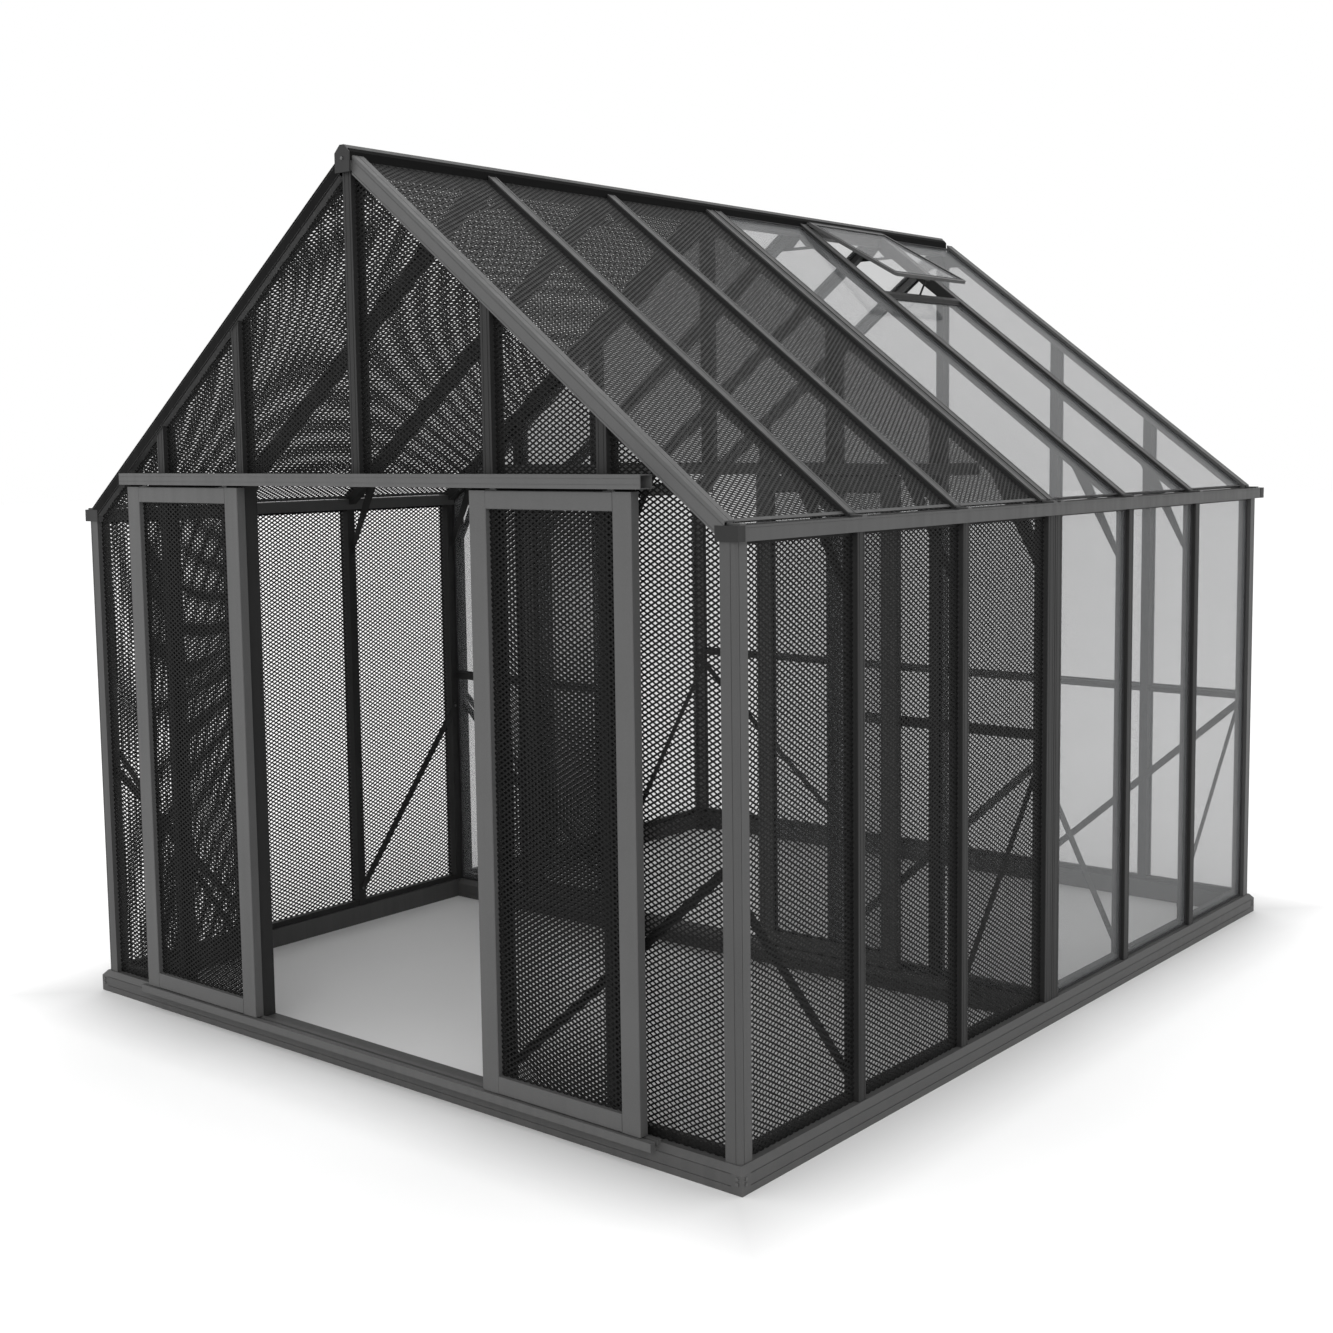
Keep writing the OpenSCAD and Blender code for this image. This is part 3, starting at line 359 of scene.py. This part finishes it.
FRAME_MAT = powder_coat("frame_coat", level=0.058, rough=0.48, gloss=0.28)
# The gable rafters' coat carries painted shade on their front faces left of the ridge.
RAFTER_PAINTED_SHADE_MAT = powder_coat("rafter_coat_painted_shade", level=0.074, rough=0.48, gloss=0.28, with_painted_shade=True)
STUD_MAT = powder_coat("stud_coat", level=0.020, rough=0.50, gloss=0.18)
DOOR_MAT = powder_coat("door_coat", level=0.075, rough=0.50, gloss=0.30)
MESH_MAT = powder_coat("mesh_coat", level=0.006, rough=0.55, gloss=0.12)
# The roof's expanded metal is the same coat painted lighter: painted light from above.
ROOF_MESH_LIT_MAT = powder_coat("roof_mesh_coat_painted_light", level=0.011, rough=0.50, gloss=0.16)
GLASS_MAT = pane_glass("glazing", tint=(0.20, 0.205, 0.21, 1), alpha=0.26)
STEEL_MAT = plain_metal("dark_steel", level=0.085, rough=0.45, metallic=0.2)
NYLON_MAT = moulded("nylon", colour=(0.62, 0.61, 0.58, 1), rough=0.42)
RUBBER_MAT = moulded("rubber", colour=(0.018, 0.018, 0.019, 1), rough=0.62)
SEAL_MAT = moulded("seal_rubber", colour=(0.005, 0.005, 0.005, 1), rough=0.8, gloss=0.08)

SLOT_MATS = {
    "frame_metal": FRAME_MAT,
    "stud_metal": STUD_MAT,
    "door_metal": DOOR_MAT,
    "mesh_metal": MESH_MAT,
    "glazing": GLASS_MAT,
    "bolt_steel": STEEL_MAT,
    "roller_nylon": NYLON_MAT,
    "buffer_rubber": RUBBER_MAT,
}


def paint(obj, mat):
    obj.data.materials.clear()
    obj.data.materials.append(mat)


# ---- Panes: the flat solids of a CAD node -----------------------------------

def loose_parts(obj):
    """The separate solids of a CAD node, each as an array of points."""
    bm = bmesh.new()
    bm.from_mesh(obj.data)
    bmesh.ops.remove_doubles(bm, verts=bm.verts, dist=WELD)
    seen, parts = set(), []
    for start in bm.verts:
        if start.index in seen:
            continue
        stack, part = [start], []
        seen.add(start.index)
        while stack:
            v = stack.pop()
            part.append(v.co.copy())
            for e in v.link_edges:
                w = e.other_vert(v)
                if w.index not in seen:
                    seen.add(w.index)
                    stack.append(w)
        parts.append(np.array(part))
    bm.free()
    return parts


def lower_hull(points):
    """The lower convex outline of points that are sorted from left to right."""
    out = []
    for p in points:
        while len(out) > 1:
            a, b = out[-2], out[-1]
            turn = (b[0] - a[0]) * (p[1] - a[1]) - (b[1] - a[1]) * (p[0] - a[0])
            if turn > STRAIGHT:
                break
            out.pop()
        out.append(p)
    return out


def hull_2d(points):
    """The convex outline of flat points, anticlockwise."""
    pts = sorted({(round(p[0], DECIMALS), round(p[1], DECIMALS)) for p in points})
    lower, upper = lower_hull(pts), lower_hull(pts[::-1])
    return np.array(lower[:-1] + upper[:-1])


class Pane:
    """A flat panel: u runs level, v runs up the panel, and n is its outward normal."""

    def __init__(self, points):
        centre = points.mean(0)
        thin_way = np.linalg.svd(points - centre)[2][2]
        n = Vector(thin_way)
        if abs(n.z) > SLOPING:
            n = n if n.z > 0 else -n
        elif abs(n.x) > abs(n.y):
            n = n if n.x * centre[0] > 0 else -n
        else:
            n = n if n.y * centre[1] > 0 else -n
        self.n = n.normalized()
        self.u = Vector((0, 0, 1)).cross(self.n).normalized()
        self.v = self.n.cross(self.u).normalized()
        depth = points @ np.array(self.n)
        self.t = float(depth.max() - depth.min())
        self.face = float(depth.max())
        flat = np.stack([points @ np.array(self.u), points @ np.array(self.v)], 1)
        self.outline = hull_2d(flat)

    def to_3d(self, flat, depth):
        """Points of the pane's plane, with depth measured outwards from its outer face."""
        u, v, n = (np.array(a) for a in (self.u, self.v, self.n))
        return flat[:, :1] * u + flat[:, 1:] * v + (self.face + depth)[:, None] * n


def panes(node):
    return [Pane(p) for p in loose_parts(frame["nodes"][node])]


def inset(outline, by):
    """A convex outline with each side moved inwards."""
    count = len(outline)
    moved = []
    for i in range(count):
        a, b, c = outline[i - 1], outline[i], outline[(i + 1) % count]
        d1, d2 = (b - a) / np.linalg.norm(b - a), (c - b) / np.linalg.norm(c - b)
        n1, n2 = np.array([-d1[1], d1[0]]), np.array([-d2[1], d2[0]])
        bend = 1 + float(n1 @ n2)
        moved.append(b + (n1 + n2) * by / max(bend, SHARPEST))
    return np.array(moved)


def outside_by(outline, points):
    """How far each point lies outside a convex outline, negative inside."""
    worst = np.full(len(points), -np.inf)
    for i in range(len(outline)):
        a, b = outline[i], outline[(i + 1) % len(outline)]
        d = (b - a) / np.linalg.norm(b - a)
        worst = np.maximum(worst, (points - a) @ np.array([d[1], -d[0]]))
    return worst


# ---- New pieces -------------------------------------------------------------

def add_object(name, points, faces, mat, body, flat_uv=None):
    mesh = bpy.data.meshes.new(name)
    mesh.from_pydata(points.tolist(), [], faces)
    mesh.validate()
    mesh.materials.append(mat)
    if flat_uv is not None:
        layer = mesh.uv_layers.new(name=BAKE_UV)
        corner = np.empty(len(mesh.loops), np.int32)
        mesh.loops.foreach_get("vertex_index", corner)
        layer.data.foreach_set("uv", flat_uv[corner].astype(np.float32).ravel())
    obj = bpy.data.objects.new(name, mesh)
    bpy.context.scene.collection.objects.link(obj)
    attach(obj, body)
    return obj


def box_mesh(lo, hi):
    """The corners and faces of a plain box."""
    points = [(x, y, z) for x in (lo[0], hi[0]) for y in (lo[1], hi[1]) for z in (lo[2], hi[2])]
    faces = [(0, 1, 3, 2), (4, 6, 7, 5), (0, 4, 5, 1), (2, 3, 7, 6), (0, 2, 6, 4), (1, 5, 7, 3)]
    return points, faces


def prism(outline, y0, y1):
    """A strip along Y with an outline of X and Z points."""
    n = len(outline)
    points = [(x, y, z) for y in (y0, y1) for x, z in outline]
    faces = [[i, (i + 1) % n, n + (i + 1) % n, n + i] for i in range(n)]
    faces += [list(range(n))[::-1], list(range(n, 2 * n))]
    return points, faces


def joined(solids):
    """Several solids as one list of points and one of faces."""
    points, faces = [], []
    for more, sides in solids:
        start = len(points)
        points.extend(more)
        faces.extend([[start + i for i in side] for side in sides])
    return np.array(points), faces


# ---- Expanded metal ---------------------------------------------------------

CELL_CORNERS = np.array([(1, 0), (0, 1), (-1, 0), (0, -1)])


def sheet_cells(pane, overlap):
    """The diamond cells of a sheet, counted in half cells: places, centres, step and row length."""
    lo, hi = pane.outline.min(0), pane.outline.max(0)
    size = hi - lo
    across = max(1, round(size[0] / CELL_WIDE))
    up = max(1, round(size[1] / CELL_HIGH))
    step = np.array([size[0] / across, size[1] / up])
    columns, rows = range(2 * across + 1), range(2 * up + 1)
    grid = np.array([(i, j) for j in rows for i in columns if (i + j) % 2 == 0])
    centres = lo + grid * step / 2
    keep = outside_by(pane.outline, centres) < overlap
    return grid[keep], centres[keep], step, 2 * across + 3


def crossings(cells, row):
    """Where strands cross, each place once, and the four crossings of every cell."""
    keys = (cells[:, None, 1] + CELL_CORNERS[:, 1] + 1) * row
    keys = keys + cells[:, None, 0] + CELL_CORNERS[:, 0] + 1
    used, shared = np.unique(keys.ravel(), return_inverse=True)
    return np.stack([used % row - 1, used // row - 1], 1), shared.reshape(-1, 4)


def open_sides(shared):
    """The cell sides that only one cell has, so that the sheet's edge can be closed."""
    sides = np.concatenate([np.stack([shared[:, k], shared[:, (k + 1) % 4]], 1) for k in range(4)])
    low, high = sides.min(1), sides.max(1)
    key = low.astype(np.int64) * (int(sides.max()) + 1) + high
    _, first, counts = np.unique(key, return_index=True, return_counts=True)
    return sides[first[counts == 1]]


def sheet_faces(shared, hole, count):
    """The front, the back and the hole walls of every cell, and the walls of the sheet's edge."""
    faces = []
    for k in range(4):
        m = (k + 1) % 4
        a, b, c, d = shared[:, k], shared[:, m], hole[:, m], hole[:, k]
        faces.append(np.stack([a, b, c, d], 1))
        faces.append(np.stack([d, c, b, a], 1) + count)
        faces.append(np.stack([d, c, c + count, d + count], 1))
    rim = open_sides(shared)
    faces.append(np.stack([rim[:, 1], rim[:, 0], rim[:, 0] + count, rim[:, 1] + count], 1))
    return np.concatenate(faces).tolist()


def expanded_metal(pane, overlap, hole_share):
    """A sheet of expanded metal over a pane: points, faces and flat coordinates.

    Each cell is a diamond with a smaller diamond hole. The strands lean: a hole's lower
    corner stands out and its upper corner stands in."""
    cells, centres, step, row = sheet_cells(pane, overlap)
    places, shared = crossings(cells, row)
    lo, hi = pane.outline.min(0), pane.outline.max(0)
    crossing = places * step / 2 + lo
    hole = (centres[:, None] + CELL_CORNERS * step / 2 * hole_share).reshape(-1, 2)
    flat = np.concatenate([crossing, hole])
    lean = np.tile([0, -STRAND_LEAN, 0, STRAND_LEAN], len(cells))
    depth = np.concatenate([np.zeros(len(crossing)), lean]) - STRAND_LEAN
    points = np.concatenate([pane.to_3d(flat, depth), pane.to_3d(flat, depth - STRAND_T)])
    hole_numbers = len(crossing) + np.arange(len(hole)).reshape(-1, 4)
    faces = sheet_faces(shared, hole_numbers, len(flat))
    uv = (flat - lo) / (hi - lo).max() * BAKE_FILL + BAKE_MARGIN
    return points, faces, np.concatenate([uv, uv])


def trim_bar(pane, low_edge):
    """A flat binding strip along the lower or the upper edge of a mesh panel."""
    lo, hi = pane.outline.min(0), pane.outline.max(0)
    bottom, top = hi[1] - TRIM_WIDE, hi[1]
    if low_edge:
        bottom, top = lo[1] - TRIM_T, lo[1] + TRIM_WIDE
    flat = np.array([(lo[0], bottom), (hi[0], bottom), (hi[0], top), (lo[0], top)])
    back, front = np.full(4, -STRAND_T - STRAND_LEAN - TRIM_T), np.full(4, TRIM_T / 2)
    points = np.concatenate([pane.to_3d(flat, back), pane.to_3d(flat, front)])
    faces = [(3, 2, 1, 0), (4, 5, 6, 7), (0, 1, 5, 4), (1, 2, 6, 5), (2, 3, 7, 6), (3, 0, 4, 7)]
    return points, faces


def mesh_panels():
    """A sheet of expanded metal in place of each flat CAD panel, with binding strips."""
    for node, body in MESH_NODES.items():
        roof, walls = node == "mesh_roof", node == "mesh_walls"
        # The roof's sheets take the lighter copy of the mesh coat, as painted light from above.
        mat = ROOF_MESH_LIT_MAT if roof else MESH_MAT
        overlap = WALL_OVERLAP if walls else OTHER_OVERLAP
        share = ROOF_HOLE_SHARE if roof else HOLE_SHARE
        for number, pane in enumerate(panes(node)):
            points, faces, uv = expanded_metal(pane, overlap, share)
            sheet = add_object(f"{node}_sheet_{number}", points, faces, mat, body, uv)
            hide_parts(node)
            trim = f"{node}_trim_{number}"
            if roof:
                points, faces = trim_bar(pane, True)
                add_object(trim, points, faces, FRAME_MAT, body)
            elif walls:
                points, faces = trim_bar(pane, False)
                add_object(trim, points, faces, MESH_MAT, body)


# ---- Seals and brushes ------------------------------------------------------

def rings(parts):
    """Flat strips round the edges of panes: each part is a pane, a back and a front depth."""
    points, faces = [], []
    for pane, back, front in parts:
        outer, inner = pane.outline, inset(pane.outline, SEAL_WIDE)
        n = len(outer)
        start = sum(len(p) for p in points)
        for flat, depth in ((outer, back), (outer, front), (inner, front), (inner, back)):
            points.append(pane.to_3d(flat, np.full(n, depth)))
        for i in range(n):
            j = (i + 1) % n
            for k in range(4):
                a, b = start + k * n, start + (k + 1) % 4 * n
                faces.append([a + i, a + j, b + j, b + i])
    return np.concatenate(points), faces


def glazing_seals():
    """Black rubber strips on both faces of every pane, along its edges."""
    for node, body in GLASS_NODES.items():
        parts = []
        for pane in panes(node):
            parts.append((pane, 0.0, SEAL_T))
            parts.append((pane, -pane.t - SEAL_T, -pane.t))
        points, faces = rings(parts)
        add_object(f"{node}_seals", points, faces, RUBBER_MAT, body)


def ridge_dark_strips():
    """Near-black strips up both sides of the ridge, from the panels and over the shoulders."""
    lo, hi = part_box("ridge_beam")
    half = (hi[0] - lo[0]) / 2
    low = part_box("mesh_roof")[1][2]
    bend = hi[2] - RIDGE_SHOULDER
    run, rise = half - RIDGE_CROWN, RIDGE_SHOULDER
    out_x, out_z = np.array([rise, run]) / math.hypot(run, rise) * RIDGE_STRIP_T
    end_x, end_z = half - run * RIDGE_STRIP_CLIMB, bend + rise * RIDGE_STRIP_CLIMB
    outline = [(half, low), (half + RIDGE_STRIP_T, low), (half + RIDGE_STRIP_T, bend + out_z / 2),
               (end_x + out_x, end_z + out_z), (end_x, end_z), (half, bend)]
    strips = []
    for hand in (1, -1):
        shape = [(hand * x, z) for x, z in outline]
        strips.append(prism(shape[::-hand], lo[1] + SEAL_T, hi[1] - SEAL_T))
    points, faces = joined(strips)
    add_object("ridge_dark_strips", points, faces, SEAL_MAT, "frame")


def brush_length(start, end, y, foot, top):
    """The boxes of one length of brush: a flat back with a row of tufts on it."""
    boxes = [box_mesh((start, y - BRUSH_T, foot), (end, y + BRUSH_T, foot + BRUSH_BASE))]
    count = int((end - start) / BRUSH_TUFT / 2)
    for i in range(count):
        x = start + (i + 0.5) * (end - start) / count
        boxes.append(box_mesh((x - BRUSH_TUFT / 2, y - BRUSH_T / 2, foot + BRUSH_BASE),
                              (x + BRUSH_TUFT / 2, y + BRUSH_T / 2, top)))
    return boxes


def leaf_brush(room, side, top):
    """A brush strip along the top of a leaf, broken at the hangers."""
    door = f"{room}_{side}_door"
    lo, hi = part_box(f"{door}_frame")
    stops = [lo[0]]
    for ab in ("a", "b"):
        roller_lo, roller_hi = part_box(f"{room}_{side}_roller_{ab}")
        stops += [roller_lo[0] - HANGER_CLEAR, roller_hi[0] + HANGER_CLEAR]
    stops.append(hi[0])
    boxes = []
    for start, end in zip(stops[::2], stops[1::2]):
        boxes += brush_length(start, end, (lo[1] + hi[1]) / 2, hi[2], top)
    points, faces = joined(boxes)
    add_object(f"{door}_brush", points, faces, SEAL_MAT, door)


def leaf_brushes():
    for room in ("front", "inner"):
        track_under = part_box(f"header_track_{room}")[0][2]
        for side in ("left", "right"):
            leaf_brush(room, side, track_under - BRUSH_CLEAR)


# ---- Floor, lights and camera -----------------------------------------------

def past_house(ground):
    """How far a point of the floor lies outside the house's footprint."""
    axes = ground.axes()
    gaps = []
    for axis, reach in (("X", cad_hi[0]), ("Y", cad_hi[1])):
        gaps.append(ground.maths("SUBTRACT", ground.maths("ABSOLUTE", axes[axis]), reach))
    return ground.maths("MAXIMUM", *gaps)


def floor_paint():
    """Pale matt paint with painted light: outside the house's footprint it glows, rising to full
    strength a short way out.
    """
    ground = Finish("floor_paint")
    cloud = ground.remap(ground.noise(FLOOR_SCALE, detail=3.0), 0, 1)
    ground.put("Base Color", ground.mix(cloud, grey(FLOOR_DARK), grey(FLOOR_LIGHT)))
    # Painted light: a white glow that rises with the distance past the house's footprint.
    ground.put("Emission Color", grey(1.0))
    painted_glow = ground.remap(past_house(ground), 0.0, FLOOR_PAINTED_LIGHT, 0.0, PAINTED_LIGHT_SPREAD)
    ground.put("Emission Strength", painted_glow)
    ground.put("Roughness", FLOOR_ROUGH)
    return ground.mat


def floor():
    mesh = bpy.data.meshes.new("floor")
    r = FLOOR_REACH
    mesh.from_pydata([(-r, -r, 0), (r, -r, 0), (r, r, 0), (-r, r, 0)], [], [(0, 1, 2, 3)])
    mesh.materials.append(floor_paint())
    obj = bpy.data.objects.new("floor", mesh)
    bpy.context.scene.collection.objects.link(obj)


def area_light(name, at, size, power):
    data = bpy.data.lights.new(name, "AREA")
    data.shape = "RECTANGLE"
    data.size, data.size_y = size
    data.energy = power
    obj = bpy.data.objects.new(name, data)
    obj.location = at
    obj.rotation_mode = "QUATERNION"
    obj.rotation_quaternion = (Vector(LIGHT_TARGET) - Vector(at)).to_track_quat("-Z", "Y")
    bpy.context.scene.collection.objects.link(obj)


def studio():
    bpy.context.scene.view_settings.view_transform = "Standard"
    world = bpy.data.worlds.new("studio")
    bpy.context.scene.world = world
    world.use_nodes = True
    sky = world.node_tree.nodes["Background"]
    sky.inputs["Color"].default_value = (1, 1, 1, 1)
    sky.inputs["Strength"].default_value = SKY_STRENGTH
    for name, (at, size, power) in LIGHTS.items():
        area_light(name, at, size, power)


def camera():
    data = bpy.data.cameras.new("view")
    data.lens = CAMERA_LENS
    data.sensor_width = CAMERA_SENSOR
    data.shift_x, data.shift_y = CAMERA_SHIFT
    obj = bpy.data.objects.new("view", data)
    bpy.context.scene.collection.objects.link(obj)
    turn = Matrix.Rotation(math.radians(CAMERA_YAW), 4, "Z")
    tilt = Matrix.Rotation(math.radians(90 - CAMERA_DOWN), 4, "X")
    roll = Matrix.Rotation(math.radians(CAMERA_ROLL), 4, "Z")
    obj.matrix_world = Matrix.Translation(CAMERA_AT) @ turn @ tilt @ roll
    bpy.context.scene.camera = obj


# ---- Build ------------------------------------------------------------------

camera()
studio()
floor()
mesh_panels()
glazing_seals()
ridge_dark_strips()
leaf_brushes()

for part in frame["record"]["subparts"]:
    node = part["node"]
    # The gable rafters take the coat with painted shade.
    mat = RAFTER_PAINTED_SHADE_MAT if node == "gable_rafters" else SLOT_MATS[part["material_slot"]]
    paint(frame["nodes"][node], mat)
